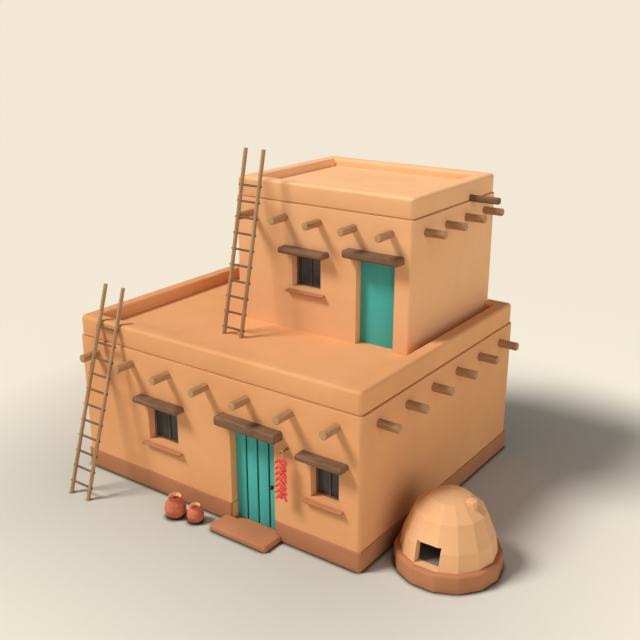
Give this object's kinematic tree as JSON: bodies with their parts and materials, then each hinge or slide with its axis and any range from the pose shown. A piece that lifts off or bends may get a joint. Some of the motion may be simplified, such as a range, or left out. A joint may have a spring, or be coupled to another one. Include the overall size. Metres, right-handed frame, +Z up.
{
  "type": "adobe house",
  "caption": "Two-storey flat-roofed mud-brick house with log roof beams, roof terrace, teal plank doors, ladders, outdoor clay oven and clay pots.",
  "frame": {"origin": "on the ground at the centre of the lower storey's plan", "axes": "+Z up, +X to the right along the front, -Y out of the front door"},
  "size_m": [9.108, 7.5627, 6.8396],
  "materials": {
    "adobe_plaster": "matt mud plaster",
    "adobe_upper": "matt mud plaster, a little paler",
    "terracotta": "matt",
    "packed_earth": "matt",
    "oven_clay": "matt",
    "log_wood": "dry, bare",
    "board_wood": "dry, bare",
    "dark_wood": "dry, stained",
    "pole_wood": "dry, bare",
    "door_backing": "dark paint",
    "teal_paint": "flat paint",
    "dark_iron": "dull",
    "window_glass": "dark, glossy",
    "pot_clay": "matt, unglazed",
    "string": "twisted fibre",
    "chili_skin": "dry skin, slight sheen"
  },
  "bodies": {
    "house": {"back_wall": "adobe_plaster", "ceiling_boards": "board_wood", "door_lintel": "dark_wood", "doorstep": "terracotta", "floor_slab": "packed_earth", "front_wall_head": "adobe_plaster", "front_wall_left": "adobe_plaster", "front_wall_right": "adobe_plaster", "ladder_ground_rails": "pole_wood", "ladder_ground_rungs": "dark_wood", "ladder_roof_rails": "pole_wood", "ladder_roof_rungs": "dark_wood", "left_wall": "adobe_plaster", "oven_base": "terracotta", "oven_dome": "oven_clay", "oven_plug": "oven_clay", "plinth_back": "terracotta", "plinth_front": "terracotta", "plinth_left": "terracotta", "plinth_right": "terracotta", "pot_large": "pot_clay", "pot_small": "pot_clay", "right_wall": "adobe_plaster", "ristra_chilies": "chili_skin", "ristra_loop": "string", "ristra_peg": "dark_wood", "ristra_string": "string", "roof_deck": "adobe_plaster", "roof_parapet": "adobe_plaster", "side_beam": "dark_wood", "threshold": "terracotta", "upper_back_wall": "adobe_upper", "upper_ceiling_boards": "board_wood", "upper_door": "teal_paint", "upper_door_lintel": "dark_wood", "upper_front_wall": "adobe_upper", "upper_left_wall": "adobe_upper", "upper_parapet": "adobe_upper", "upper_right_wall": "adobe_upper", "upper_roof_deck": "adobe_upper", "upper_vigas_front": "log_wood", "upper_vigas_right": "log_wood", "vigas_front": "log_wood", "vigas_right": "log_wood", "window_frames": "dark_wood", "window_glass": "window_glass", "window_lintels": "dark_wood", "window_sills": "terracotta"},
    "door": {"door_leaf": "door_backing", "door_planks": "teal_paint", "door_knob": "dark_iron"}
  },
  "joints": [
    {"name": "door_swing", "type": "hinge", "parent": "house", "child": "door", "pos_m": [0.5965, -2.81, 0.06], "axis": [0, 0, 1], "range_deg": [0, 90]}
  ]
}
